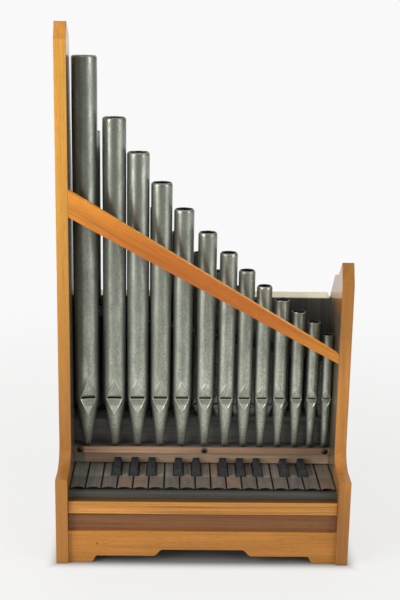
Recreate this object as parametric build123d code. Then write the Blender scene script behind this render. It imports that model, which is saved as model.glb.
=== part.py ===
"""Portative organ: two rows of metal flue pipes over a small keyboard.

Units are millimetres and Z points up from the floor.
While modelling, Y 0 is the front of the side boards and Y grows to the back.
The export moves everything so that the origin is under the middle of the box.
"""

import os
from math import asin, cos, pi, sqrt

from build123d import *

# Keyboard, which sets the width of the case
NATURALS = 17
NATURAL_PITCH = 22.25
NATURAL_GAP = 1.0
KEYBOARD_CLEAR = 0.375
CHEEK_THICK = 17.0
INNER = NATURALS * NATURAL_PITCH / 2 + KEYBOARD_CLEAR

# Boards under the keyboard, from the floor up
STACK_FRONT = 5.0
STACK_BACK = 23.0
APRON_TOP = 47.8
APRON_THICK = 12.0
CHEST_FRONT_HEIGHT = 26.7
CHEST_FRONT_RECESS = 4.0
FRONT_RAIL_HEIGHT = 18.8
KEY_SLIP_HEIGHT = 10.4
KEY_SLIP_RECESS = 10.0
CHEST_FRONT_TOP = APRON_TOP + CHEST_FRONT_HEIGHT
FRONT_RAIL_TOP = CHEST_FRONT_TOP + FRONT_RAIL_HEIGHT
KEY_SLIP_TOP = FRONT_RAIL_TOP + KEY_SLIP_HEIGHT

# Feet and stepped arch of the apron
FOOT_LENGTH = 31.0
FOOT_OGEE = 10.0
FOOT_RISE = 10.5
ARCH_HALF = 55.5
ARCH_OGEE = 15.0
ARCH_RISE = 20.0

# Keys
KEY_FRONT_CLEAR = 1.2
KEY_PROUD = 1.6
KEY_THICK = 10.0
KEY_ROOM = 13.3
KEY_SHOWN = 91.3
SCOOP_WIDTH = 18.5
SCOOP_DEPTH = 5.0
SHARP_LENGTH = 45.8
SHARP_BACK_CLEAR = 1.7
SHARP_BASE = 14.0
SHARP_TOP = 9.0
SHARP_RISE = 10.0
SHARP_NOSE = 3.0
SHARP_CLEAR = 0.8
# Each sharp lies after this many naturals, moved sideways by this much
SHARPS = [(3, -3.0), (4, 0.0), (5, 3.0), (7, -2.0), (8, 2.0),
          (10, -3.0), (11, 0.0), (12, 3.0), (14, -2.0), (15, 2.0)]
ROD_RADIUS = 1.5
ROD_CLEAR = 0.06
ROD_FROM_TAIL = 4.5
KEY_TAIL_CLEAR = 1.5
KEY_FRONT = STACK_BACK + KEY_FRONT_CLEAR
KEY_TOP = KEY_SLIP_TOP + KEY_PROUD
KEY_UNDER = KEY_TOP - KEY_THICK
CHEST_TOP = KEY_UNDER - KEY_ROOM
ROD_Z = KEY_TOP - KEY_THICK / 2

# Name board, toe board with a strip along its front edge, and the step of the rear pipes
NAMEBOARD_CLEAR = 1.0
NAMEBOARD_HEIGHT = 22.1
NAMEBOARD_THICK = 7.5
TOE_BOARD_THICK = 6.3
TOE_BOARD_EDGE = 6.0
TOE_STRIP_OVERHANG = 16.5
TOE_STRIP_THICK = 6.0
TOE_STRIP_RISE = 1.9
TOE_STRIP_DROP = 0.6
TOE_HOLE = 2.8
REAR_STEP_HEIGHT = 34.5
NAMEBOARD_FRONT = KEY_FRONT + KEY_SHOWN
SHARP_BACK = NAMEBOARD_FRONT - SHARP_BACK_CLEAR
SHARP_FRONT = SHARP_BACK - SHARP_LENGTH
TOE_STRIP_FRONT = NAMEBOARD_FRONT - TOE_STRIP_OVERHANG
TOE_BOARD_FRONT = TOE_STRIP_FRONT + TOE_STRIP_THICK
TOE_BOARD_UNDER = KEY_TOP + NAMEBOARD_CLEAR + NAMEBOARD_HEIGHT
TOE_BOARD_TOP = TOE_BOARD_UNDER + TOE_BOARD_THICK
TOE_STRIP_TOP = TOE_BOARD_TOP + TOE_STRIP_RISE
REAR_STEP_TOP = TOE_BOARD_TOP + REAR_STEP_HEIGHT

# Screws that hold the toe strip
SCREW_INSET = 9.0
SCREW_MIDDLE = 2.5
SCREW_EDGE = 3.8
SCREW_TURNS = (20, -35, 55)
SCREW_RADIUS = 3.7
SCREW_RIM = 1.0
SCREW_DOME = 1.8
SCREW_SLOT_WIDTH = 1.0
SCREW_SLOT_DEPTH = 1.2

# Pipes: notes are semitones above the lowest pipe, read from the lengths of the pipes
FRONT_NOTES = [0, 3, 5, 7, 9, 11, 13, 15, 17, 19, 21, 23, 26]
REAR_NOTES = [3, 4, 6, 8, 10, 12, 14, 16, 18, 20, 22, 24, 25, 27]
NOTES_PER_OCTAVE = 12
LOWEST_DIAMETER = 35.6
DIAMETER_STEP_SHARE = 0.0219
LOWEST_HALF_WAVE = 541.0
END_CORRECTION_SHARE = 1.5
PIPE_WALL = 1.0
TOE_RADIUS = 4.5
FRONT_FOOT = 77.8
REAR_FOOT = 19.8
# Gaps between neighbours, as shares of the width that the pipes of a row leave free
FRONT_GAPS = [6.0, 0.9, 1.9, 2.2, 5.5, 3.9, 1.8, 2.4, 4.0, 4.6, 4.0, 4.6]
REAR_GAPS = [1.0] * (len(REAR_NOTES) - 1)
FRONT_END_GAP = 1.2
REAR_END_GAP = 4.3
MOUTH_SHARE = 0.21
CUT_UP_SHARE = 0.17
UPPER_LIP_SHARE = 1.9
LOWER_LIP_SHARE = 1.15
LIP_FOOT_SHARE = 0.8
LIP_PAST = 0.4
LANGUID = 2.0
WINDWAY = 0.8
RIM_HEIGHT = 3.0
RIM_IN = 0.5
RIM_OUT = 0.9
CONED_IN_COUNT = 9
FLARED_OUT_COUNT = 3
FIRST_PIPE_ANGLE = 12.0

# Batten between the two rows of pipes
BATTEN_CLEAR = 1.35
BATTEN_BACK_CLEAR = 2.4
BATTEN_THICK = 2.8
BATTEN_HEIGHT = 14.0
BATTEN_LEFT = 343.5
BATTEN_RIGHT = 266.5

# Back board and closed bellows
PIPE_BACK_CLEAR = 2.8
BLOCK_DEPTH = 29.0
BACK_BOARD_THICK = 10.0
BACK_BOARD_TOP = 348.3
BELLOWS_INSET = 0.5
BELLOWS_LOW = 70.0
BELLOWS_TOP_DEPTH = 16.0
BELLOWS_FOOT_DEPTH = 8.0
BELLOWS_BOARD_THICK = 10.0
BELLOWS_BAND = 1.2

# Side boards, seen from the side
SEAT_HEIGHT = 127.0
SEAT_RISE = 1.0
COVE_RADIUS = 32.0
POST_FRONT = 60.0
LEFT_PEAK_HEIGHT = 745.0
LEFT_PEAK_SETBACK = 11.0
LEFT_FRONT_DROP = 23.0
LEFT_BACK_DROP = 18.0
LEFT_POST_DEPTH = 42.0
LEFT_HEEL_DEPTH = 72.0
RIGHT_PEAK_HEIGHT = 425.0
RIGHT_PEAK_SETBACK = 14.0
RIGHT_FRONT_DROP = 30.0
RIGHT_BACK_DROP = 23.0
RIGHT_POST_DEPTH = 41.0
HEEL_HEIGHT = 402.0
SHOULDER_HEIGHT = 392.0
SHOULDER_RUN = 43.0
BACK_EDGE_HEIGHT = 350.0

# Slanting rail in front of the pipes, as bottom and top heights at each end
PIPE_RAIL_THICK = 13.0
PIPE_RAIL_LEFT = (485.4, 522.6)
PIPE_RAIL_RIGHT = (280.4, 294.6)

# How far a cut runs past the face that it leaves
CUT_PAST = 1.0


def pipe_radius(note):
    """Outer radius of a pipe, which shrinks by the same step with every semitone."""
    return LOWEST_DIAMETER / 2 * (1 - DIAMETER_STEP_SHARE * note)


def speaking_length(note):
    """Length above the mouth, half a wave less the end correction."""
    return LOWEST_HALF_WAVE * 2 ** (-note / NOTES_PER_OCTAVE) - END_CORRECTION_SHARE * 2 * pipe_radius(note)


# Places from the front to the back that follow the pipes
FRONT_AXIS = TOE_BOARD_FRONT + TOE_BOARD_EDGE
BATTEN_FRONT = FRONT_AXIS + pipe_radius(FRONT_NOTES[0]) + BATTEN_CLEAR
BATTEN_BACK = BATTEN_FRONT + BATTEN_THICK
REAR_AXIS = BATTEN_BACK + BATTEN_BACK_CLEAR + pipe_radius(REAR_NOTES[0])
CHEST_BACK = REAR_AXIS + pipe_radius(REAR_NOTES[0]) + PIPE_BACK_CLEAR
BLOCK_FRONT = CHEST_BACK - BLOCK_DEPTH
KEY_TAIL = BLOCK_FRONT - KEY_TAIL_CLEAR
ROD_Y = KEY_TAIL - ROD_FROM_TAIL
CHEEK_DEPTH = CHEST_BACK + BACK_BOARD_THICK
DEPTH = CHEEK_DEPTH + BELLOWS_TOP_DEPTH + BELLOWS_BOARD_THICK


def block(x_limits, y_limits, z_limits):
    """A plain board between the limits on each axis."""
    sizes = [high - low for low, high in (x_limits, y_limits, z_limits)]
    middle = [(high + low) / 2 for low, high in (x_limits, y_limits, z_limits)]
    return Pos(*middle) * Box(*sizes)


def between_cheeks(y_limits, z_limits):
    """A plain board that fills the width between the side boards."""
    return block((-INNER, INNER), y_limits, z_limits)


def side_slab(outline, x_limits):
    """A board with its outline drawn in Y and Z, as seen from the side."""
    low, high = x_limits
    return Pos(low, 0, 0) * extrude(Plane.YZ * make_face(outline), amount=high - low)


def front_slab(outline, y_limits):
    """A board with its outline drawn in X and Z, as seen from the front."""
    low, high = y_limits
    return Pos(0, low, 0) * extrude(Plane.XZ * make_face(outline), amount=low - high)


def cheek(pitched_top, x_limits):
    """A side board: seat beside the keys, coved step, post with a pitched top, shoulder."""
    cove_low = SEAT_HEIGHT + SEAT_RISE
    cove_middle = (POST_FRONT - COVE_RADIUS, cove_low + COVE_RADIUS)
    cove = CenterArc(cove_middle, COVE_RADIUS, -90, 90)
    low_edge = Polyline((CHEEK_DEPTH, 0), (0, 0), (0, SEAT_HEIGHT), (cove_middle[0], cove_low))
    shoulder = (CHEEK_DEPTH - SHOULDER_RUN, SHOULDER_HEIGHT)
    back_edge = [(CHEEK_DEPTH, BACK_EDGE_HEIGHT), (CHEEK_DEPTH, 0)]
    high_edge = Polyline((POST_FRONT, cove_middle[1]), *pitched_top, shoulder, *back_edge)
    return side_slab(low_edge + cove + high_edge, x_limits)


def left_cheek():
    """The tall side board beside the long pipes, with a post that is deeper at its heel."""
    back = POST_FRONT + LEFT_POST_DEPTH
    pitched_top = [
        (POST_FRONT, LEFT_PEAK_HEIGHT - LEFT_FRONT_DROP),
        (POST_FRONT + LEFT_PEAK_SETBACK, LEFT_PEAK_HEIGHT),
        (back, LEFT_PEAK_HEIGHT - LEFT_BACK_DROP),
        (POST_FRONT + LEFT_HEEL_DEPTH, HEEL_HEIGHT),
    ]
    return cheek(pitched_top, (-INNER - CHEEK_THICK, -INNER))


def right_cheek():
    """The short side board beside the small pipes."""
    pitched_top = [
        (POST_FRONT, RIGHT_PEAK_HEIGHT - RIGHT_FRONT_DROP),
        (POST_FRONT + RIGHT_PEAK_SETBACK, RIGHT_PEAK_HEIGHT),
        (POST_FRONT + RIGHT_POST_DEPTH, RIGHT_PEAK_HEIGHT - RIGHT_BACK_DROP),
    ]
    return cheek(pitched_top, (INNER, INNER + CHEEK_THICK))


def ogee(start, end):
    """A small S curve from a level start to a level end."""
    middle = (start[0] + end[0]) / 2
    return Bezier(start, (middle, start[1]), (middle, end[1]), end)


def apron():
    """The front skirt with feet at the ends and a stepped arch between them."""
    foot_edge = (INNER - FOOT_LENGTH, 0)
    foot_step = (foot_edge[0] - FOOT_OGEE, FOOT_RISE)
    arch_edge = (ARCH_HALF + ARCH_OGEE, FOOT_RISE)
    arch_step = (ARCH_HALF, ARCH_RISE)
    outline = Polyline((0, APRON_TOP), (INNER, APRON_TOP), (INNER, 0), foot_edge)
    outline += ogee(foot_edge, foot_step)
    outline += Line(foot_step, arch_edge)
    outline += ogee(arch_edge, arch_step)
    outline += Polyline(arch_step, (0, ARCH_RISE), (0, APRON_TOP))
    half = front_slab(outline, (STACK_FRONT, STACK_FRONT + APRON_THICK))
    return half + mirror(half, about=Plane.YZ)


def slanting_bar(left, right, y_limits):
    """A bar between the side boards, with its bottom and top heights at each end."""
    corners = [(-INNER, left[0]), (INNER, right[0]), (INNER, right[1]), (-INNER, left[1])]
    return front_slab(Polyline(*corners, close=True), y_limits)


def batten():
    """The thin bar between the two rows of pipes."""
    half = BATTEN_HEIGHT / 2
    left = (BATTEN_LEFT - half, BATTEN_LEFT + half)
    right = (BATTEN_RIGHT - half, BATTEN_RIGHT + half)
    return slanting_bar(left, right, (BATTEN_FRONT, BATTEN_BACK))


def along_x(radius, length):
    """A round bar along X at the height and depth of the key rod."""
    return Pos(0, ROD_Y, ROD_Z) * Rot(0, 90, 0) * Cylinder(radius, length)


def natural_edge(index):
    """The line between two naturals, counted from the left end."""
    return (index - NATURALS / 2) * NATURAL_PITCH


def sharp_middle(after, shift):
    """The middle of a sharp that lies after a number of naturals."""
    return natural_edge(after) + shift


def natural(index):
    """A natural key: wide head with a scooped front, and a tail between the sharps."""
    left = natural_edge(index) + NATURAL_GAP / 2
    right = natural_edge(index + 1) - NATURAL_GAP / 2
    key = block((left, right), (KEY_FRONT, KEY_TAIL), (KEY_UNDER, KEY_TOP))
    reach = SHARP_BASE / 2 + SHARP_CLEAR
    notch_y = (SHARP_FRONT - SHARP_CLEAR, KEY_TAIL + CUT_PAST)
    notch_z = (KEY_UNDER - CUT_PAST, KEY_TOP + CUT_PAST)
    for after, shift in SHARPS:
        if after in (index, index + 1):
            spot = sharp_middle(after, shift)
            key -= block((spot - reach, spot + reach), notch_y, notch_z)
    scoop = SCOOP_WIDTH**2 / (8 * SCOOP_DEPTH) + SCOOP_DEPTH / 2
    scoop_place = ((left + right) / 2, KEY_FRONT + SCOOP_DEPTH - scoop, ROD_Z)
    key -= Pos(*scoop_place) * Cylinder(scoop, KEY_THICK + 2 * CUT_PAST)
    return key - along_x(ROD_RADIUS + ROD_CLEAR, 2 * INNER)


def sharp(after, shift):
    """A sharp key: a lever with a tapered raised block."""
    middle = sharp_middle(after, shift)
    half = SHARP_BASE / 2
    lever = block((middle - half, middle + half), (SHARP_FRONT, KEY_TAIL), (KEY_UNDER, KEY_TOP))
    top_length = SHARP_LENGTH - SHARP_NOSE
    low = Pos(middle, SHARP_BACK - SHARP_LENGTH / 2, KEY_TOP) * Rectangle(SHARP_BASE, SHARP_LENGTH)
    high = Pos(middle, SHARP_BACK - top_length / 2, KEY_TOP + SHARP_RISE) * Rectangle(SHARP_TOP, top_length)
    return lever + loft([low, high]) - along_x(ROD_RADIUS + ROD_CLEAR, 2 * INNER)


def pipe_form(radius, toe, rim, length, foot):
    """A round form with a cone below the mouth at Z 0, and a rim at the top."""
    points = [(0, -foot), (toe, -foot), (radius, 0)]
    if rim:
        points.append((radius, length - RIM_HEIGHT))
    points += [(radius + rim, length), (0, length)]
    return revolve(Plane.XZ * make_face(Polyline(*points, close=True)), Axis.Z)


def lip_cutter(radius, foot, inset):
    """The wedge that flattens the front into a pointed lip above and below the mouth."""
    half_angle = asin(MOUTH_SHARE * pi)
    flat = radius * cos(half_angle)
    half_way = radius * cos(half_angle / 2)
    rise = UPPER_LIP_SHARE * radius
    fall = min(LOWER_LIP_SHARE * radius, LIP_FOOT_SHARE * foot)
    taper = (radius - TOE_RADIUS) / foot
    low_half_way = (radius - taper * fall / 2) * cos(half_angle / 2)
    top_end = (-radius - LIP_PAST, rise)
    low_end = (taper * fall - radius - LIP_PAST, -fall)
    far = -2 * radius
    outline = ThreePointArc((-flat, 0), (-half_way, rise / 2), top_end)
    outline += Polyline(top_end, (far, rise), (far, -fall), low_end)
    outline += ThreePointArc(low_end, (-low_half_way, -fall / 2), (-flat, 0))
    return Pos(0, inset, 0) * side_slab(outline, (far, -far))


def flue_pipe(note, rim, foot):
    """An open flue pipe with pointed lips, a mouth, a languid and a cone foot."""
    radius = pipe_radius(note)
    length = speaking_length(note)
    half_mouth = MOUTH_SHARE * pi * radius
    flat = sqrt(radius**2 - half_mouth**2)
    outer = pipe_form(radius, TOE_RADIUS, rim, length, foot)
    outer -= lip_cutter(radius, foot, 0)
    inner = pipe_form(radius - PIPE_WALL, TOE_RADIUS - PIPE_WALL, rim, length, foot)
    inner -= lip_cutter(radius, foot, PIPE_WALL)
    inner -= block((-radius, radius), (-radius, radius), (-LANGUID, 0))
    slit = (-half_mouth + PIPE_WALL, half_mouth - PIPE_WALL)
    behind_lip = PIPE_WALL - flat
    windway = block(slit, (behind_lip, behind_lip + WINDWAY), (-LANGUID - WINDWAY, WINDWAY))
    mouth = block(slit, (-radius, behind_lip + WINDWAY), (0, CUT_UP_SHARE * radius))
    return outer - inner - windway - mouth


def row_centres(notes, end_gap, gap_shares):
    """Pipe centres along a row, with the free width shared out between neighbours."""
    radii = [pipe_radius(note) for note in notes]
    free = 2 * INNER - 2 * end_gap - 2 * sum(radii)
    gaps = [free * share / sum(gap_shares) for share in gap_shares]
    centres = []
    edge = end_gap - INNER
    for radius, gap in zip(radii, gaps + [end_gap]):
        centres.append(edge + radius)
        edge += 2 * radius + gap
    return centres


def front_centres():
    """Pipe centres along the front row."""
    return row_centres(FRONT_NOTES, FRONT_END_GAP, FRONT_GAPS)


def rear_centres():
    """Pipe centres along the rear row."""
    return row_centres(REAR_NOTES, REAR_END_GAP, REAR_GAPS)


def front_rim(place):
    """How far a front pipe's rim is coned in or flared out."""
    if place < CONED_IN_COUNT:
        return -RIM_IN
    return RIM_OUT if place < CONED_IN_COUNT + FLARED_OUT_COUNT else 0


def front_pipes():
    """The front row, standing on the toe board, low notes at the left."""
    pipes = []
    for place, x in enumerate(front_centres()):
        angle = FIRST_PIPE_ANGLE if place == 0 else 0
        pipe = flue_pipe(FRONT_NOTES[place], front_rim(place), FRONT_FOOT)
        pipes.append(Pos(x, FRONT_AXIS, TOE_BOARD_TOP + FRONT_FOOT) * Rot(0, 0, angle) * pipe)
    return pipes


def rear_pipes():
    """The rear row, with shorter feet than the front row, on the step."""
    pipes = []
    for note, x in zip(REAR_NOTES, rear_centres()):
        pipes.append(Pos(x, REAR_AXIS, REAR_STEP_TOP + REAR_FOOT) * flue_pipe(note, 0, REAR_FOOT))
    return pipes


def wind_holes(board, feet, z_limits):
    """A board with a wind hole under each foot."""
    low, high = z_limits
    for x, y in feet:
        board -= Pos(x, y, (low + high) / 2) * Cylinder(TOE_HOLE, high - low + 2 * CUT_PAST)
    return board


def toe_board():
    """The board that the front pipes and the rear step stand on."""
    z_limits = (TOE_BOARD_UNDER, TOE_BOARD_TOP)
    feet = [(x, FRONT_AXIS) for x in front_centres()]
    feet += [(x, REAR_AXIS) for x in rear_centres()]
    return wind_holes(between_cheeks((TOE_BOARD_FRONT, CHEST_BACK), z_limits), feet, z_limits)


def rear_step():
    """The raised block that the rear pipes stand on."""
    z_limits = (TOE_BOARD_TOP, REAR_STEP_TOP)
    feet = [(x, REAR_AXIS) for x in rear_centres()]
    return wind_holes(between_cheeks((BATTEN_FRONT, CHEST_BACK), z_limits), feet, z_limits)


def screw(x, turn):
    """A round headed slotted screw on the front face of the toe strip."""
    top = SCREW_RIM + SCREW_DOME
    dome = (SCREW_RADIUS**2 + SCREW_DOME**2) / (2 * SCREW_DOME)
    profile = Polyline((0, top), (0, 0), (SCREW_RADIUS, 0), (SCREW_RADIUS, SCREW_RIM))
    profile += RadiusArc((0, top), (SCREW_RADIUS, SCREW_RIM), dome)
    head = revolve(Plane.XZ * make_face(profile), Axis.Z)
    slot_half = SCREW_SLOT_WIDTH / 2
    slot_z = (top - SCREW_SLOT_DEPTH, top + CUT_PAST)
    head -= block((-2 * SCREW_RADIUS, 2 * SCREW_RADIUS), (-slot_half, slot_half), slot_z)
    return Pos(x, TOE_STRIP_FRONT, TOE_STRIP_TOP - SCREW_EDGE) * Rot(90, 0, 0) * Rot(0, 0, turn) * head


def screws():
    """One screw at each end of the toe strip and one near its middle."""
    places = (SCREW_INSET - INNER, SCREW_MIDDLE, INNER - SCREW_INSET)
    return Compound(children=[screw(x, turn) for x, turn in zip(places, SCREW_TURNS)])


def bellows_leather():
    """The closed wedge of leather, with a band glued over the tops of both boards."""
    low = CHEEK_DEPTH + BELLOWS_FOOT_DEPTH
    high = CHEEK_DEPTH + BELLOWS_TOP_DEPTH
    band_top = BACK_BOARD_TOP + BELLOWS_BAND
    corners = [
        (CHEEK_DEPTH, BELLOWS_LOW),
        (low, BELLOWS_LOW),
        (high, BACK_BOARD_TOP),
        (DEPTH, BACK_BOARD_TOP),
        (DEPTH, band_top),
        (CHEST_BACK, band_top),
        (CHEST_BACK, BACK_BOARD_TOP),
        (CHEEK_DEPTH, BACK_BOARD_TOP),
    ]
    return side_slab(Polyline(*corners, close=True), (BELLOWS_INSET - INNER, INNER - BELLOWS_INSET))


def bellows_board():
    """The board at the very back, leaning on the leather wedge."""
    low = CHEEK_DEPTH + BELLOWS_FOOT_DEPTH
    high = CHEEK_DEPTH + BELLOWS_TOP_DEPTH
    corners = [
        (low, BELLOWS_LOW),
        (low + BELLOWS_BOARD_THICK, BELLOWS_LOW),
        (DEPTH, BACK_BOARD_TOP),
        (high, BACK_BOARD_TOP),
    ]
    return side_slab(Polyline(*corners, close=True), (BELLOWS_INSET - INNER, INNER - BELLOWS_INSET))


def case_nodes():
    """Every fixed wooden piece, the rod, the screws and the bellows."""
    panel_front = STACK_FRONT + CHEST_FRONT_RECESS
    slip_front = STACK_FRONT + KEY_SLIP_RECESS
    nameboard_y = (NAMEBOARD_FRONT, NAMEBOARD_FRONT + NAMEBOARD_THICK)
    nameboard_z = (KEY_TOP + NAMEBOARD_CLEAR, TOE_BOARD_UNDER)
    strip_z = (TOE_BOARD_UNDER - TOE_STRIP_DROP, TOE_STRIP_TOP)
    return {
        "left_cheek": left_cheek(),
        "right_cheek": right_cheek(),
        "pipe_rail": slanting_bar(PIPE_RAIL_LEFT, PIPE_RAIL_RIGHT, (POST_FRONT, POST_FRONT + PIPE_RAIL_THICK)),
        "apron": apron(),
        "chest_front": between_cheeks((panel_front, STACK_BACK), (APRON_TOP, CHEST_FRONT_TOP)),
        "front_rail": between_cheeks((STACK_FRONT, STACK_BACK), (CHEST_FRONT_TOP, FRONT_RAIL_TOP)),
        "key_slip": between_cheeks((slip_front, STACK_BACK), (FRONT_RAIL_TOP, KEY_SLIP_TOP)),
        "wind_chest": between_cheeks((STACK_BACK, CHEST_BACK), (APRON_TOP, CHEST_TOP)),
        "channel_block": between_cheeks((BLOCK_FRONT, CHEST_BACK), (CHEST_TOP, TOE_BOARD_UNDER)),
        "nameboard": between_cheeks(nameboard_y, nameboard_z),
        "toe_board": toe_board(),
        "toe_strip": between_cheeks((TOE_STRIP_FRONT, TOE_BOARD_FRONT), strip_z),
        "toe_strip_screws": screws(),
        "rear_step": rear_step(),
        "key_rod": along_x(ROD_RADIUS, 2 * INNER),
        "batten": batten(),
        "back_board": between_cheeks((CHEST_BACK, CHEEK_DEPTH), (APRON_TOP, BACK_BOARD_TOP)),
        "bellows_leather": bellows_leather(),
        "bellows_board": bellows_board(),
    }


def pipe_nodes():
    """The two rows of pipes, each shared out over three nodes."""
    nodes = {}
    for row, pipes in (("front", front_pipes()), ("rear", rear_pipes())):
        for name, members in (("bass", pipes[:4]), ("tenor", pipes[4:8]), ("treble", pipes[8:])):
            nodes[f"{row}_pipes_{name}"] = Compound(children=members)
    return nodes


def key_nodes():
    """One node for every key."""
    nodes = {f"natural_{index + 1:02d}": natural(index) for index in range(NATURALS)}
    for number, (after, shift) in enumerate(SHARPS, start=1):
        nodes[f"sharp_{number:02d}"] = sharp(after, shift)
    return nodes


def main():
    """Build every node and write it with the origin under the middle of the box."""
    os.makedirs("parts", exist_ok=True)
    to_origin = Pos(0, -DEPTH / 2, 0)
    for name, shape in {**case_nodes(), **pipe_nodes(), **key_nodes()}.items():
        export_step(to_origin * shape, f"parts/{name}.step")


main()
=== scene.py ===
import random
from math import acos, asin, atan2, cos, pi, radians, sin

import bmesh
import bpy
from bpy.props import FloatProperty, FloatVectorProperty, IntProperty, PointerProperty
from mathutils import Matrix, Vector


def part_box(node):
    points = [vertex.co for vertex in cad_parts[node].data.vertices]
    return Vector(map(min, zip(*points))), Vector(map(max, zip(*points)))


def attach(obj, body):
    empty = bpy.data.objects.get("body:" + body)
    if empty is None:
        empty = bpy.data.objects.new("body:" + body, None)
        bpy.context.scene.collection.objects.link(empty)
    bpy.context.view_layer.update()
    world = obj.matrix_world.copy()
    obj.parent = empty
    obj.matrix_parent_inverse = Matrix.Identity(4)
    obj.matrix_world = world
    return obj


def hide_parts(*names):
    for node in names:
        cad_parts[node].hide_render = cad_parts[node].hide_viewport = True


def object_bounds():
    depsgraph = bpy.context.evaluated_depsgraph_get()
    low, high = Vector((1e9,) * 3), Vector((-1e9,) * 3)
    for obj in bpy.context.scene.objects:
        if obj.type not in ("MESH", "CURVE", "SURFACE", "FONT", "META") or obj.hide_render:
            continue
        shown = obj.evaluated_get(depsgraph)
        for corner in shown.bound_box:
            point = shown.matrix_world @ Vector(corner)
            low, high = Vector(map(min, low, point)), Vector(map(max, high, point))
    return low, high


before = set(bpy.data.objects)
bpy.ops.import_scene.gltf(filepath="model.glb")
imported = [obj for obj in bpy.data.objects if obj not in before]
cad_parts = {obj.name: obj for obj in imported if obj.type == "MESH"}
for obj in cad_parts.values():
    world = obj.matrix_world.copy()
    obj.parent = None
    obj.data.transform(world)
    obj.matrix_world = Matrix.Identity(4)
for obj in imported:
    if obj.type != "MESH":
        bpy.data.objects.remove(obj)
cad_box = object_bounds()

bl_info = {
    "name": "Portative organ dressing",
    "version": (1, 0, 0),
    "blender": (4, 5, 0),
    "location": "View3D > Sidebar > Organ",
    "description": "Dresses the packed portative organ with wood, pipe metal, leather and a studio",
    "category": "Object",
}

# Pipes as the part's source lays them out: notes are semitones above the lowest pipe
FRONT_NOTES = [0, 3, 5, 7, 9, 11, 13, 15, 17, 19, 21, 23, 26]
REAR_NOTES = [3, 4, 6, 8, 10, 12, 14, 16, 18, 20, 22, 24, 25, 27]
FRONT_GAPS = [6.0, 0.9, 1.9, 2.2, 5.5, 3.9, 1.8, 2.4, 4.0, 4.6, 4.0, 4.6]
REAR_GAPS = [1.0] * (len(REAR_NOTES) - 1)
LOWEST_RADIUS = 0.0178
RADIUS_STEP_SHARE = 0.0219
LOWEST_HALF_WAVE = 0.541
END_CORRECTION_RADII = 3.0
FRONT_END_GAP = 0.0012
REAR_END_GAP = 0.0043
FRONT_FOOT = 0.0778
REAR_FOOT = 0.0198
TOE_RADIUS = 0.0045
PIPE_WALL = 0.001
# Mouths: the widest half mouth, its share of the radius, and how that share grows below a radius
MOUTH_HALF = 0.0112
MOUTH_SHARE = 0.72
SMALL_PIPE = 0.0127
SMALL_PIPE_WIDENING = 25.0
# Lips as shares of the radius: how deep they are pressed, how far they run, the mouth, and the patch under
# the mouth that is painted darker as a painted reflection
DEEPEST_PRESS = 0.27
UPPER_LIP = 1.9
LOWER_LIP = 1.5
CUT_UP = 0.17
DARK_LIP_PATCH = 0.6
# Rims of the front row, counted from the left
CONED_IN_COUNT = 9
FLARED_OUT_COUNT = 3
UNEVEN_RIM = 0.0012
FIRST_PIPE_ANGLE = radians(12)
PIPES_TO_A_NODE = (("bass", 0, 4), ("tenor", 4, 8), ("treble", 8, 14))

# Wear of each natural from the left: on the head, on the tail, and how pale the whole key is
NATURAL_WEAR = [
    (0.05, 0.10, 0.98), (0.10, 0.15, 1.02), (0.15, 0.15, 1.00), (0.60, 0.20, 1.05), (0.90, 0.25, 1.05),
    (0.45, 0.25, 1.00), (0.20, 0.15, 0.95), (0.35, 0.30, 1.00), (0.35, 0.40, 1.00), (0.55, 0.80, 1.00),
    (1.00, 0.30, 1.05), (0.35, 0.35, 0.90), (0.40, 0.25, 1.05), (0.35, 0.45, 1.00), (0.20, 0.25, 0.95),
    (0.30, 0.20, 0.95), (0.75, 0.65, 1.00),
]
# Heights of the two slanting boards, measured upright
RAIL_HEIGHT = 0.026
BATTEN_HEIGHT = 0.014
# A top for shaded faces that is above every piece
NO_TOP = 1.0
# Nails that show on the batten between the front pipes
NAIL_PLACES = [-0.1541, -0.0808, -0.0471, -0.0149, 0.0182, 0.0463]


def linear(*levels):
    """Screen levels from 0 to 255 as the linear values that a colour socket takes."""
    shares = [level / 255 for level in levels]
    return tuple(s / 12.92 if s <= 0.04045 else ((s + 0.055) / 1.055) ** 2.4 for s in shares)


def colour(name, description, *levels):
    """A colour that the user can change, given in screen levels."""
    return FloatVectorProperty(name=name, description=description, default=linear(*levels), size=3,
                               min=0, max=1, subtype="COLOR")


def distance(name, description, default):
    """A length in metres that the user can change."""
    return FloatProperty(name=name, description=description, default=default, min=0, precision=5,
                         subtype="DISTANCE", unit="LENGTH")


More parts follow.
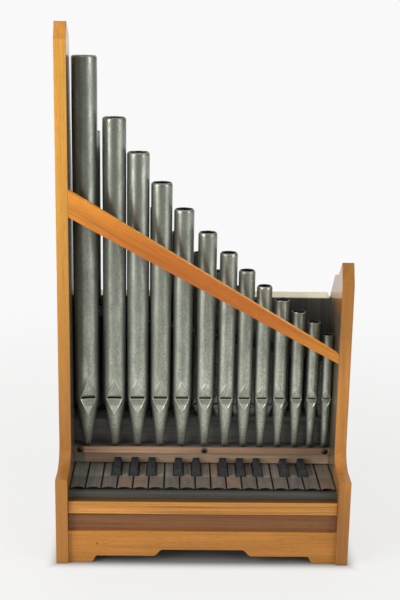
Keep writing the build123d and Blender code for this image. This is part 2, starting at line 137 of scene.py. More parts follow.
class OrganColours(bpy.types.PropertyGroup):
    """Colours of the organ's woods, metals and leather."""

    left_board: colour("Left board", "Varnished wood of the tall side board", 208, 148, 57)
    right_board: colour("Right board", "Varnished wood of the short side board", 185, 122, 48)
    # The browner colour low on the side boards is painted shade, where less light reaches the lower part.
    board_foot_shade: colour("Foot of the boards", "Browner wood low on the side boards", 160, 103, 38)
    # The dark colour of the inner faces beside the pipes is painted shade.
    board_inside_shade: colour("Inner faces", "Dull wood of the side boards beside the pipes", 98, 84, 68)
    # A darker colour on the sloping tops of the side boards.
    board_slope: colour("End grain", "Darker wood on the sloping tops of the side boards", 197, 131, 50)
    slanting_rail: colour("Slanting rail", "Varnished wood of the rail in front of the pipes", 183, 103, 33)
    rail_end: colour("Rail end", "Paler wood at the high end of the slanting rail", 212, 135, 46)
    apron: colour("Apron", "Varnished wood of the skirt at the floor", 184, 122, 51)
    front_rail: colour("Front rail", "Varnished wood of the rail under the keys", 200, 137, 64)
    chest_front: colour("Chest front", "Red-brown wood of the panel under the front rail", 126, 82, 47)
    toe_strip: colour("Toe strip", "Pinkish wood of the strip in front of the pipe feet", 164, 130, 103)
    nameboard: colour("Name board", "Brown wood behind the keys", 216, 186, 154)
    # The greyer left end of the name board is dirt plus the painted shadow of the tall side board.
    nameboard_shaded_end: colour("Name board end", "Greyer wood at the left end of the name board", 150, 146, 128)
    dark_board: colour("Dark boards", "Stained wood round the pipe feet, of the chest and the back",
                       104, 102, 98)
    key_slip: colour("Key slip", "Dark strip in front of the keys", 74, 73, 67)
    natural: colour("Naturals", "Stained wood of the long keys", 102, 101, 95)
    natural_worn: colour("Worn naturals", "Red-brown wood where fingers have worn the stain", 144, 114, 90)
    sharp: colour("Sharps", "Black stained wood of the short keys", 52, 52, 53)
    pipe: colour("Pipes", "Tin and lead alloy of the pipes", 174, 178, 166)
    # Dull patches on the pipes. Darker shares of this colour are also painted shade on the sides, toes and
    # insides of the pipes.
    pipe_tarnish_and_shade: colour("Pipe tarnish", "Dull patches on the pipes", 142, 147, 135)
    # The rear pipes' pale colour is painted light in the shade behind the front row.
    rear_pipe_lightened: colour("Rear pipes", "Dull lead of the pipes in the second row", 196, 199, 190)
    # The pale dust colour is also painted light that lightens the shaded top of the step behind the pipes.
    dust_and_light: colour("Dust", "Pale dust on the boards behind the pipes", 200, 198, 191)
    leather: colour("Leather", "Cream leather of the bellows", 252, 241, 208)
    dark_steel: colour("Screws", "Blackened steel of the screws", 66, 60, 54)
    bright_steel: colour("Steel", "Bright steel of the key rod and the nails", 196, 194, 188)
    floor: colour("Floor", "Pale studio floor", 243, 243, 241)


class OrganSizes(bpy.types.PropertyGroup):
    """Small sizes of the dressing that the solids leave out."""

    board_edge: distance("Board edge", "Rounding of the edges of the case boards", 0.0012)
    key_edge: distance("Key edge", "Rounding of the edges of the keys", 0.0006)
    nail_radius: distance("Nail radius", "Radius of the nail heads on the batten", 0.0015)
    lip_bead: distance("Lip bead", "Height of the bead along the edges of the pipe lips", 0.00035)
    seam_bead: distance("Seam bead", "Height of the soldered seam at the back of a pipe", 0.00025)
    pipe_columns: IntProperty(name="Pipe columns", description="Faces round a pipe outside its lips",
                              default=30, min=12, max=96)


class OrganStudio(bpy.types.PropertyGroup):
    """Camera and lamps."""

    camera_place: FloatVectorProperty(name="Camera place", description="Where the camera stands", size=3,
                                      default=(-0.03715, cad_box[0][1] - 1.40914, 0.74427),
                                      subtype="TRANSLATION", unit="LENGTH")
    camera_pitch: FloatProperty(name="Pitch", description="How far the camera looks down",
                                default=radians(14.216), subtype="ANGLE", unit="ROTATION")
    camera_yaw: FloatProperty(name="Yaw", description="How far the camera looks to the right",
                              default=radians(1.129), subtype="ANGLE", unit="ROTATION")
    camera_roll: FloatProperty(name="Roll", description="How far the camera leans",
                               default=radians(0.964), subtype="ANGLE", unit="ROTATION")
    lens: FloatProperty(name="Lens", description="Focal length on a 36 mm frame, in millimetres",
                        default=65.497, min=10, max=200)
    left_power: FloatProperty(name="Left lamp", description="Power of the tall soft lamp at the left",
                              default=43.0, min=0, subtype="POWER", unit="POWER")
    right_power: FloatProperty(name="Right lamp", description="Power of the weaker soft lamp at the right",
                               default=20.0, min=0, subtype="POWER", unit="POWER")
    room: FloatProperty(name="Room light", description="Strength of the light from the room", default=0.3,
                        min=0, max=1, subtype="FACTOR")


def add(tree, kind, inputs=None, **settings):
    """A node with its settings, and its inputs joined to other nodes or given values."""
    node = tree.nodes.new(kind)
    for name, value in settings.items():
        setattr(node, name, value)
    for socket, value in (inputs or {}).items():
        if isinstance(value, bpy.types.NodeSocket):
            tree.links.new(value, node.inputs[socket])
        else:
            node.inputs[socket].default_value = value
    return node


def start(name, **sockets):
    """A new material with its surface shader, and the tree to add nodes to."""
    material = bpy.data.materials.new(name)
    material.use_nodes = True
    tree = material.node_tree
    tree.nodes.clear()
    shader = add(tree, "ShaderNodeBsdfPrincipled", {k.replace("_", " "): v for k, v in sockets.items()})
    output = add(tree, "ShaderNodeOutputMaterial")
    tree.links.new(shader.outputs["BSDF"], output.inputs["Surface"])
    return material, tree, shader


def rgba(levels):
    """A colour property as the four values of a colour socket."""
    return (levels[0], levels[1], levels[2], 1.0)


def tint(levels, share):
    """A colour made darker or paler by a share."""
    return tuple(min(1.0, level * share) for level in levels)


def object_place(tree):
    """The point on the piece, in the piece's own metres."""
    return add(tree, "ShaderNodeTexCoord").outputs["Object"]


def stretched_noise(tree, place, scale, detail=3.0, roughness=0.55, distortion=0.0):
    """Noise with its own scale on each axis."""
    mapped = add(tree, "ShaderNodeMapping", {"Vector": place, "Scale": scale}).outputs["Vector"]
    noise = add(tree, "ShaderNodeTexNoise", {"Vector": mapped, "Scale": 1.0, "Detail": detail,
                                             "Roughness": roughness, "Distortion": distortion})
    return noise.outputs["Fac"]


def spread(tree, value, low, high, new_low=0.0, new_high=1.0, smooth=False):
    """A value stretched from one range to another and held inside it."""
    kind = "SMOOTHSTEP" if smooth else "LINEAR"
    node = add(tree, "ShaderNodeMapRange", {"Value": value, "From Min": low, "From Max": high,
                                            "To Min": new_low, "To Max": new_high}, interpolation_type=kind)
    return node.outputs["Result"]


def blend(tree, share, first, second, kind="MIX"):
    """Two colours mixed by a share."""
    node = add(tree, "ShaderNodeMix", {0: share, 6: first, 7: second}, data_type="RGBA", blend_type=kind)
    return node.outputs[2]


def maths(tree, kind, first, second=0.0):
    """One sum on two values."""
    return add(tree, "ShaderNodeMath", {0: first, 1: second}, operation=kind).outputs[0]


def times(tree, first, second):
    """The product of two values."""
    return maths(tree, "MULTIPLY", first, second)


def shades(tree, share, base, dark, pale):
    """A colour that runs from a darker to a paler share of itself."""
    return blend(tree, share, rgba(tint(base, dark)), rgba(tint(base, pale)))


def scaled(tree, tone, *shares):
    """A colour with each of its channels multiplied by a share."""
    return blend(tree, 1.0, tone, (*shares, 1), "MULTIPLY")


def axis_of(tree, place, axis):
    """One coordinate of a point."""
    return add(tree, "ShaderNodeSeparateXYZ", {"Vector": place}).outputs[axis]


def facing(tree, way):
    """How much a face looks one way, from 0 to 1."""
    normal = add(tree, "ShaderNodeNewGeometry").outputs["True Normal"]
    along = add(tree, "ShaderNodeVectorMath", {0: normal, 1: way}, operation="DOT_PRODUCT").outputs["Value"]
    return spread(tree, along, 0.6, 0.85, smooth=True)


def relief(tree, shader, height, depth, strength):
    """Bump from a height, joined to the shader."""
    bump = add(tree, "ShaderNodeBump", {"Height": height, "Distance": depth, "Strength": strength})
    tree.links.new(bump.outputs["Normal"], shader.inputs["Normal"])


def along_grain(tree, place, offset, turn):
    """The point turned so that the grain runs along Z, and shifted so that boards differ."""
    inputs = {"Vector": place, "Location": offset, "Rotation": turn}
    return add(tree, "ShaderNodeMapping", inputs).outputs["Vector"]


def paint(tree, shader, tone, rough):
    """Joins a colour and a roughness to the shader."""
    tree.links.new(tone, shader.inputs["Base Color"])
    tree.links.new(rough, shader.inputs["Roughness"])


GRAIN_TURN = {"X": (0, pi / 2, 0), "Y": (pi / 2, 0, 0), "Z": (0, 0, 0)}


def wood(name, base, grain="Z", turn=None, offset=(0, 0, 0), contrast=0.5, lines=0.3, pores=0.5, gloss=0.46,
         coat=0.06, fine=1.0, bands=(), spots=(), faces=()):
    """Wood with broad figure, growth lines, fibres and pores along the grain, and stained places.

    Bands are a shade, an axis and where it begins and ends. Spots are a place, a radius and a strength.
    Faces paint a colour on the faces that look one way, used for painted shade, painted light and dust: the
    colour, the way that a face looks, the depth at which the colour begins and ends, its top, and the
    weight of the varnish on it.
    """
    material, tree, shader = start(name, Roughness=gloss, Coat_Weight=coat, Coat_Roughness=0.18,
                                   Specular_IOR_Level=0.3)
    place = object_place(tree)
    grained = along_grain(tree, place, offset, turn or GRAIN_TURN[grain])
    figure = stretched_noise(tree, grained, (38, 38, 2.0), detail=3, distortion=0.8)
    rings = stretched_noise(tree, grained, (210 * fine, 210 * fine, 3.5), detail=2, distortion=1.5 / fine)
    fibres = stretched_noise(tree, grained, (900, 900, 22), detail=3, roughness=0.65)
    holes = spread(tree, stretched_noise(tree, grained, (1700, 1700, 75), detail=1), 0.60, 0.70)
    broad = spread(tree, figure, 0.32, 0.68, smooth=True)
    tone = shades(tree, broad, base, 1 - 0.55 * contrast, 1 + 0.25 * contrast)
    # Bands darken or lighten the wood along an axis, and some of them are painted shade.
    for shade, axis, begin, end in bands:
        share = spread(tree, axis_of(tree, place, axis), begin, end, smooth=True)
        tone = blend(tree, share, tone, shades(tree, broad, shade, 0.85, 1.1))
    ring_share = times(tree, spread(tree, rings, 0.50, 0.66), lines)
    tone = blend(tree, ring_share, tone, rgba(tint(base, 0.34)))
    fibre_share = times(tree, spread(tree, fibres, 0.42, 0.72), 0.35)
    tone = blend(tree, fibre_share, tone, rgba(tint(base, 0.5)))
    tone = blend(tree, times(tree, holes, 0.55 * pores), tone, rgba(tint(base, 0.2)))
    for spot, radius, strength in spots:
        away = add(tree, "ShaderNodeVectorMath", {0: place, 1: spot}, operation="DISTANCE").outputs["Value"]
        stain = spread(tree, away, radius, radius * 0.4, 0.0, strength)
        tone = blend(tree, stain, tone, rgba(tint(base, 0.08)))
    # Painted shade, painted light and dust on the faces that look one way, behind a depth and below a top.
    for shade, way, begin, end, top, varnish in faces:
        looks = facing(tree, way)
        behind = spread(tree, axis_of(tree, place, "Y"), begin, end, smooth=True)
        under = spread(tree, axis_of(tree, place, "Z"), top + 0.02, top - 0.02, smooth=True)
        share = times(tree, times(tree, looks, behind), under)
        tone = blend(tree, share, tone, shades(tree, broad, shade, 0.8, 1.15))
        tree.links.new(spread(tree, looks, 0, 1, coat, varnish), shader.inputs["Coat Weight"])
    paint(tree, shader, tone, spread(tree, fibres, 0.3, 0.7, gloss - 0.06, gloss + 0.1))
    height = maths(tree, "SUBTRACT", times(tree, fibres, 0.5), times(tree, holes, 0.5))
    relief(tree, shader, height, 0.0003, 0.35)
    return material


def natural_wood(name, base, worn, wear, line, sides, offset):
    """Stained wood of a natural: worn by fingers, with a scribed line where the sharps begin."""
    head_wear, tail_wear, paleness = wear
    material, tree, shader = start(name, Roughness=0.45, Specular_IOR_Level=0.45)
    place = object_place(tree)
    grained = along_grain(tree, place, offset, GRAIN_TURN["Y"])
    streaks = stretched_noise(tree, grained, (260, 260, 14), detail=4, distortion=0.6)
    fibres = stretched_noise(tree, grained, (1100, 1100, 40), detail=3, roughness=0.65)
    cloud = stretched_noise(tree, grained, (60, 60, 38), detail=3, distortion=0.5)
    tone = shades(tree, spread(tree, streaks, 0.3, 0.7), base, 0.62 * paleness, 1.22 * paleness)
    depth = axis_of(tree, place, "Y")
    head = spread(tree, depth, line + 0.0004, line - 0.0004)
    # Painted light: the tails between the sharps are painted paler than the heads.
    tone = blend(tree, head, scaled(tree, tone, 1.7, 1.75, 1.75), tone)
    amount = spread(tree, head, 0, 1, tail_wear, head_wear)
    rubbed = times(tree, spread(tree, cloud, 0.30, 0.62), amount)
    tone = blend(tree, rubbed, tone, rgba(worn))
    dark_streak = times(tree, spread(tree, fibres, 0.48, 0.72), 0.45)
    tone = blend(tree, dark_streak, tone, rgba(tint(base, 0.35)))
    away = maths(tree, "ABSOLUTE", maths(tree, "SUBTRACT", depth, line))
    scribed = spread(tree, away, 0.0008, 0.0003, 0.0, 0.6)
    up = add(tree, "ShaderNodeNewGeometry").outputs["Normal"]
    top = spread(tree, axis_of(tree, up, "Z"), 0.5, 0.8)
    tone = blend(tree, times(tree, scribed, top), tone, rgba(tint(base, 2.0)))
    # Painted shade: the sides and fronts of each natural, and a narrow strip along each side of its top,
    # are painted nearly black.
    middle, half = (sides[0] + sides[1]) / 2, (sides[1] - sides[0]) / 2
    across = maths(tree, "ABSOLUTE", maths(tree, "SUBTRACT", axis_of(tree, place, "X"), middle))
    lit = times(tree, top, spread(tree, across, half - 0.0003, half - 0.0013))
    tone = blend(tree, lit, rgba(tint(base, 0.08)), tone)
    paint(tree, shader, tone, spread(tree, cloud, 0.3, 0.7, 0.52, 0.36))
    relief(tree, shader, fibres, 0.0002, 0.3)
    return material


def sharp_wood(name, base):
    """Black stained wood of the sharps, paler where it is rubbed."""
    material, tree, shader = start(name, Roughness=0.7, Specular_IOR_Level=0.12)
    place = object_place(tree)
    streaks = stretched_noise(tree, place, (500, 20, 500), detail=3)
    cloud = stretched_noise(tree, place, (90, 60, 90), detail=3)
    tone = shades(tree, spread(tree, streaks, 0.35, 0.7), base, 0.7, 1.4)
    tone = blend(tree, spread(tree, cloud, 0.52, 0.75, 0.0, 0.4), tone, rgba(tint(base, 2.2)))
    paint(tree, shader, tone, spread(tree, cloud, 0.3, 0.7, 0.6, 0.75))
    relief(tree, shader, streaks, 0.0002, 0.3)
    return material


def pipe_metal(name, bright, dull, shine=0.92, rough=0.35):
    """Tin and lead sheet: drawn streaks, cast spots and dull patches, painted paler low down and near the
    mouths as painted light, and darker on the sides and toes as painted shade.
    """
    material, tree, shader = start(name, Metallic=shine, Roughness=rough)
    place = object_place(tree)
    marks = add(tree, "ShaderNodeAttribute", attribute_name="pipe_marks").outputs["Vector"]
    own, rubbed, aside = (axis_of(tree, marks, axis) for axis in "XYZ")
    height = axis_of(tree, place, "Z")
    low = spread(tree, height, 0.52, 0.26, smooth=True)
    lit = spread(tree, height, 0.30, 0.20, smooth=True)
    toe = spread(tree, height, 0.17, 0.137, 0.0, 0.65)
    streaks = stretched_noise(tree, place, (420, 420, 9), detail=3, roughness=0.6)
    patches = stretched_noise(tree, place, (70, 70, 22), detail=4, roughness=0.6, distortion=0.4)
    spots = stretched_noise(tree, place, (430, 430, 300), detail=2, roughness=0.6, distortion=0.5)
    specks = stretched_noise(tree, place, (900, 900, 600), detail=2, roughness=0.6)
    tone = blend(tree, spread(tree, patches, 0.34, 0.66, smooth=True), rgba(dull), rgba(bright))
    tone = blend(tree, spread(tree, streaks, 0.45, 0.75, 0.0, 0.5), tone, rgba(tint(dull, 0.7)))
    # Each pipe's own darker tone, and the darker patch under each mouth, which is a painted reflection.
    tone = blend(tree, own, tone, rgba(tint(dull, 0.8)))
    # Painted light: the pipes are painted paler low down, and paler still near the mouths.
    tone = blend(tree, low, tone, scaled(tree, tone, 1.18, 1.17, 1.15))
    tone = blend(tree, lit, tone, scaled(tree, tone, 1.4, 1.39, 1.38))
    cast = spread(tree, spots, 0.44, 0.60, smooth=True)
    tone = blend(tree, times(tree, cast, spread(tree, low, 0, 1, 0.3, 0.42)), tone, rgba(tint(dull, 0.72)))
    tone = blend(tree, spread(tree, specks, 0.58, 0.74, 0.0, 0.4), tone, rgba(tint(dull, 0.5)))
    # Painted shade: low down, the sides of each pipe that face its neighbours are painted dark and dull.
    dulling = times(tree, aside, low)
    tone = blend(tree, dulling, tone, rgba(tint(dull, 0.17)))
    # Painted highlight: the lip outlines, the line at the mouth and the lower lips are painted paler.
    tone = blend(tree, rubbed, tone, rgba(tint(bright, 1.6)))
    # Painted shade: the feet are painted darker towards the toes.
    tone = blend(tree, toe, tone, rgba(tint(dull, 0.3)))
    tree.links.new(spread(tree, dulling, 0, 1, shine, 0.1 * shine), shader.inputs["Metallic"])
    uneven = maths(tree, "ADD", spread(tree, patches, 0.3, 0.7, rough + 0.08, rough - 0.06),
                   spread(tree, spots, 0.35, 0.65, -0.05, 0.08))
    uneven = maths(tree, "ADD", uneven, times(tree, low, 0.05))
    paint(tree, shader, tone, uneven)
    dents = stretched_noise(tree, place, (60, 60, 24), detail=2)
    relief(tree, shader, maths(tree, "ADD", dents, times(tree, spots, 0.1)), 0.0011, 0.4)
    return material


def leather(name, base):
    """Cream leather with a fine grain, soft stains and fine darker mottling."""
    material, tree, shader = start(name, Roughness=0.7, Specular_IOR_Level=0.3, Sheen_Weight=0.15)
    place = object_place(tree)
    cells = add(tree, "ShaderNodeTexVoronoi", {"Vector": place, "Scale": 900.0, "Randomness": 1.0},
                feature="DISTANCE_TO_EDGE").outputs["Distance"]
    stain = stretched_noise(tree, place, (22, 22, 14), detail=4)
    fine = stretched_noise(tree, place, (400, 400, 400), detail=3)
    tone = blend(tree, spread(tree, stain, 0.35, 0.7), rgba(base), rgba(tint(base, 0.74)))
    tone = blend(tree, spread(tree, fine, 0.5, 0.75, 0.0, 0.25), tone, rgba(tint(base, 0.6)))
    paint(tree, shader, tone, spread(tree, stain, 0.3, 0.7, 0.62, 0.8))
    relief(tree, shader, maths(tree, "ADD", spread(tree, cells, 0.0, 0.2), fine), 0.0002, 0.5)
    return material


def steel(name, base, roughness):
    """Steel with fine scratches and a little tarnish."""
    material, tree, shader = start(name, Metallic=1.0, Roughness=roughness)
    place = object_place(tree)
    scratches = stretched_noise(tree, place, (120, 1800, 1800), detail=2)
    dulling = stretched_noise(tree, place, (300, 300, 300), detail=3)
    tone = blend(tree, spread(tree, dulling, 0.4, 0.7), rgba(base), rgba(tint(base, 0.55)))
    paint(tree, shader, tone, spread(tree, scratches, 0.3, 0.7, roughness - 0.08, roughness + 0.12))
    relief(tree, shader, scratches, 0.0001, 0.3)
    return material


def dress(node, material, edge=0.0):
    """Gives a CAD node its finish, and rounds its edges with modifiers."""
    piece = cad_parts[node]
    for place in range(len(piece.material_slots)):
        piece.material_slots[place].material = material
    if edge:
        weld = piece.modifiers.new("Joined corners", "WELD")
        weld.merge_threshold = 0.000002
        bevel = piece.modifiers.new("Rounded edges", "BEVEL")
        bevel.width = edge
        bevel.segments = 3
        bevel.limit_method = "ANGLE"
        bevel.angle_limit = radians(32)
        bevel.use_clamp_overlap = True
        bevel.harden_normals = False
        normals = piece.modifiers.new("Even shading", "WEIGHTED_NORMAL")
        normals.keep_sharp = False
        normals.weight = 80


def make_piece(name, mesh_builder, material, body="case"):
    """A new piece from a mesh that a builder fills, riding on a body."""
    mesh = bpy.data.meshes.new(name)
    work = bmesh.new()
    mesh_builder(work)
    bmesh.ops.recalc_face_normals(work, faces=work.faces[:])
    for face in work.faces:
        face.smooth = True
    work.to_mesh(mesh)
    work.free()
    mesh.materials.append(material)
    piece = bpy.data.objects.new(name, mesh)
    bpy.context.scene.collection.objects.link(piece)
    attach(piece, body)
    return piece


def skin(work, rows):
    """Faces between neighbouring rows of corners."""
    for first, second in zip(rows, rows[1:]):
        for step in range(len(first) - 1):
            work.faces.new((first[step], first[step + 1], second[step + 1], second[step]))


def sheet(work, steps, columns, point):
    """A skin whose corners come from a function of the step and the column."""
    skin(work, [[work.verts.new(point(step, column)) for column in range(columns + 1)]
                for step in range(steps + 1)])


def sharpen(piece, degrees):
    """Marks the edges that are steeper than an angle as sharp."""
    work = bmesh.new()
    work.from_mesh(piece.data)
    limit = radians(degrees)
    for edge in work.edges:
        if len(edge.link_faces) == 2 and edge.calc_face_angle(0.0) > limit:
            edge.smooth = False
    work.to_mesh(piece.data)
    work.free()


def pipe_radius(note):
    """Outer radius of a pipe."""
    return LOWEST_RADIUS * (1 - RADIUS_STEP_SHARE * note)


def speaking_length(note):
    """Length of a pipe above its mouth."""
    return LOWEST_HALF_WAVE * 2 ** (-note / 12) - END_CORRECTION_RADII * pipe_radius(note)


def row_centres(notes, end_gap, gap_shares):
    """Pipe centres along a row, with the free width shared out between neighbours."""
    inner = -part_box("left_cheek")[1][0]
    radii = [pipe_radius(note) for note in notes]
    free = 2 * inner - 2 * end_gap - 2 * sum(radii)
    gaps = [free * share / sum(gap_shares) for share in gap_shares]
    centres = []
    edge = end_gap - inner
    for radius, gap in zip(radii, gaps + [end_gap]):
        centres.append(edge + radius)
        edge += 2 * radius + gap
    return centres


LIP_ACROSS = (-1, -0.9, -0.6, -0.3, 0, 0.3, 0.6, 0.9, 1)
LIP_COLUMNS = len(LIP_ACROSS) - 1


def lip_shape(radius):
    """Half angle of a mouth, and how far its lips are pressed in as a share of the radius."""
    share = MOUTH_SHARE + SMALL_PIPE_WIDENING * max(0, SMALL_PIPE - radius)
    wide = asin(min(share, MOUTH_HALF / radius))
    return wide, min(DEEPEST_PRESS, 1 - cos(wide))


def pipe_rows(radius, length, foot, rim):
    """Height, radius, half angle of the lip and how far the lip is pressed flat, from the toe up."""
    wide = lip_shape(radius)[0]
    fall = min(LOWER_LIP * radius, 0.75 * foot)
    rise = UPPER_LIP * radius
    cut_up = CUT_UP * radius
    rows = []

    def cone(z):
        return radius + (radius - TOE_RADIUS) * z / foot

    for step in range(7):
        z = -foot + (foot - fall - 0.1 * radius) * step / 6
        rows.append((z, cone(z), wide * 0.08, 0.0))
    for step in range(14):
        share = step / 13
        z = -fall * (1 - share)
        rows.append((z, cone(z), wide * (0.08 + 0.92 * share), min(1.0, 5 * share)))
    for step in range(12):
        share = step / 11
        z = cut_up + (rise - cut_up) * share
        rows.append((z, radius, wide * max(0.05, 1 - z / rise), 1.0))
    for step in range(1, 4):
        z = rise + 0.5 * radius * step / 3
        rows.append((z, radius, wide * (0.05 + 0.45 * step / 3), 0.0))
    low = rise + 0.5 * radius
    high = length - 0.006
    count = max(3, int((high - low) / 0.03))
    for step in range(1, count + 1):
        rows.append((low + (high - low) * step / count, radius, wide * 0.5, 0.0))
    for drop, change in rim:
        rows.append((length - drop, radius + change, wide * 0.5, 0.0))
    return rows


CONED_RIM = [(0.0042, 0.0), (0.0028, -0.0001), (0.0016, -0.0005), (0.0007, -0.0011), (0.0, -0.0018)]
FLARED_RIM = [(0.0045, 0.0), (0.003, 0.0002), (0.0015, 0.0005), (0.0, 0.0009)]
PLAIN_RIM = [(0.004, 0.0), (0.002, 0.0), (0.0004, 0.0), (0.0, -0.0002)]


def add_pipe(work, place, radius, rows, turn, sizes, uneven, marks, tone):
    """One pipe skin of lips, mouth, body, rim and languid, at its place in the row."""
    side = sizes.pipe_columns
    bead = sizes.lip_bead
    beside, seam_half, rim_height = 0.06, 0.08, 0.006
    spin = Matrix.Translation(place) @ Matrix.Rotation(turn, 4, "Z")
    top = rows[-1][0]
    wide, press = lip_shape(radius)
    flat = press / (1 - cos(wide))
    rings = []
    levels = {}
    for z, around, half, pressed in rows:
        ring = []
        angles = [half * across for across in LIP_ACROSS]
        first = half + beside
        span = 2 * pi - 2 * first
        angles += [first + span * step / side for step in range(side + 1)]
        for step, angle in enumerate(angles):
            x, y = around * sin(angle), -around * cos(angle)
            if step <= LIP_COLUMNS:
                across = angle / half
                hollow = 0.03 * radius * (1 - across * across) * min(1, half / 0.5)
                x += (around * sin(half) * across - x) * pressed * flat
                y += (hollow - around * cos(half) - y) * pressed * flat
            if step in (0, LIP_COLUMNS):
                x += bead * pressed * sin(angle)
                y -= bead * pressed * cos(angle)
            if abs(angle - pi) < seam_half:
                y += sizes.seam_bead
            lift = uneven * sin(angle * 2 + place[0] * 400) * max(0, 1 - (top - z) / rim_height)
            vert = work.verts.new(spin @ Vector((x, y, z - abs(lift))))
            # Painted reflection: a patch just under the mouth is painted darker.
            dark_patch = -DARK_LIP_PATCH * radius < z < 0
            edge, shade = 0.0, tone
            # Painted highlight: the lip outlines, the row at the mouth and the lower lip below the darker
            # patch are painted paler.
            if step in (0, LIP_COLUMNS):
                edge = pressed
            elif step < LIP_COLUMNS and z <= 0:
                edge = 0.5 if z == 0 else 0.0 if dark_patch else 0.35 * pressed
                shade = 0.8 if dark_patch else tone
            # Painted shade: past a lit angle round from the front, the share of dark, dull paint on the
            # pipe's sides. The pressed lips are kept out.
            away = min(angle % (2 * pi), -angle % (2 * pi))
            lit, fade = (0.6, 0.42) if z > 0 else (0.3, 0.75)
            level = max(0.0, min(1.0, (away - lit) / fade))
            levels[vert] = (shade, edge, level * (1 - pressed) if step <= LIP_COLUMNS else level, 1.0)
            ring.append(vert)
        rings.append(ring)
    columns = len(rings[0])
    faces = []
    for low, (lower, upper) in enumerate(zip(rings, rings[1:])):
        open_mouth = rows[low][0] == 0
        for step in range(columns):
            if open_mouth and step < LIP_COLUMNS:
                continue
            after = (step + 1) % columns
            faces.append(work.faces.new((lower[step], lower[after], upper[after], upper[step])))
    tongue = acos(1 - press)
    inside = radius - PIPE_WALL * 1.05
    steps = 28
    disc = []
    for step in range(steps + 1):
        angle = tongue + (2 * pi - 2 * tongue) * step / steps
        point = Vector((inside * sin(angle), -inside * cos(angle), -0.0004))
        if step in (0, steps):
            point.y += PIPE_WALL * 0.9
        disc.append(work.verts.new(spin @ point))
    faces.append(work.faces.new(disc))
    for face in faces:
        for loop in face.loops:
            loop[marks] = levels.get(loop.vert, (tone, 0.0, 1.0, 1.0))


def build_row(row, notes, centres, foot, first_turn, finishes, sizes, seed):
    """Three pieces that take the place of a row's pipe nodes."""
    chance = random.Random(seed)
    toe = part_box(f"{row}_pipes_tenor")[0][2]
    for part, begin, end in PIPES_TO_A_NODE:
        node = f"{row}_pipes_{part}"
        members = list(enumerate(notes))[begin:end]
        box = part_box(f"{row}_pipes_bass" if part != "treble" else node)
        axis = (box[0][1] + box[1][1]) / 2

        def fill(work):
            marks = work.loops.layers.float_color.new("pipe_marks")
            for place, note in members:
                radius = pipe_radius(note)
                rim = PLAIN_RIM
                uneven = 0.0
                if row == "front" and place < CONED_IN_COUNT:
                    rim = CONED_RIM
                elif row == "front" and place < CONED_IN_COUNT + FLARED_OUT_COUNT:
                    rim = FLARED_RIM
                    uneven = UNEVEN_RIM
                rows = pipe_rows(radius, speaking_length(note), foot, rim)
                turn = first_turn if place == 0 else 0.0
                where = Vector((centres[place], axis, toe + foot))
                add_pipe(work, where, radius, rows, turn, sizes, uneven, marks, chance.uniform(0, 0.35))

        piece = make_piece(f"{row}_{part}_flue_pipes", fill, finishes[0])
        piece.data.materials.append(finishes[1])
        wall = piece.modifiers.new("Sheet thickness", "SOLIDIFY")
        wall.material_offset = 1
        wall.thickness = PIPE_WALL
        wall.offset = -1
        sharpen(piece, 24)
        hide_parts(node)


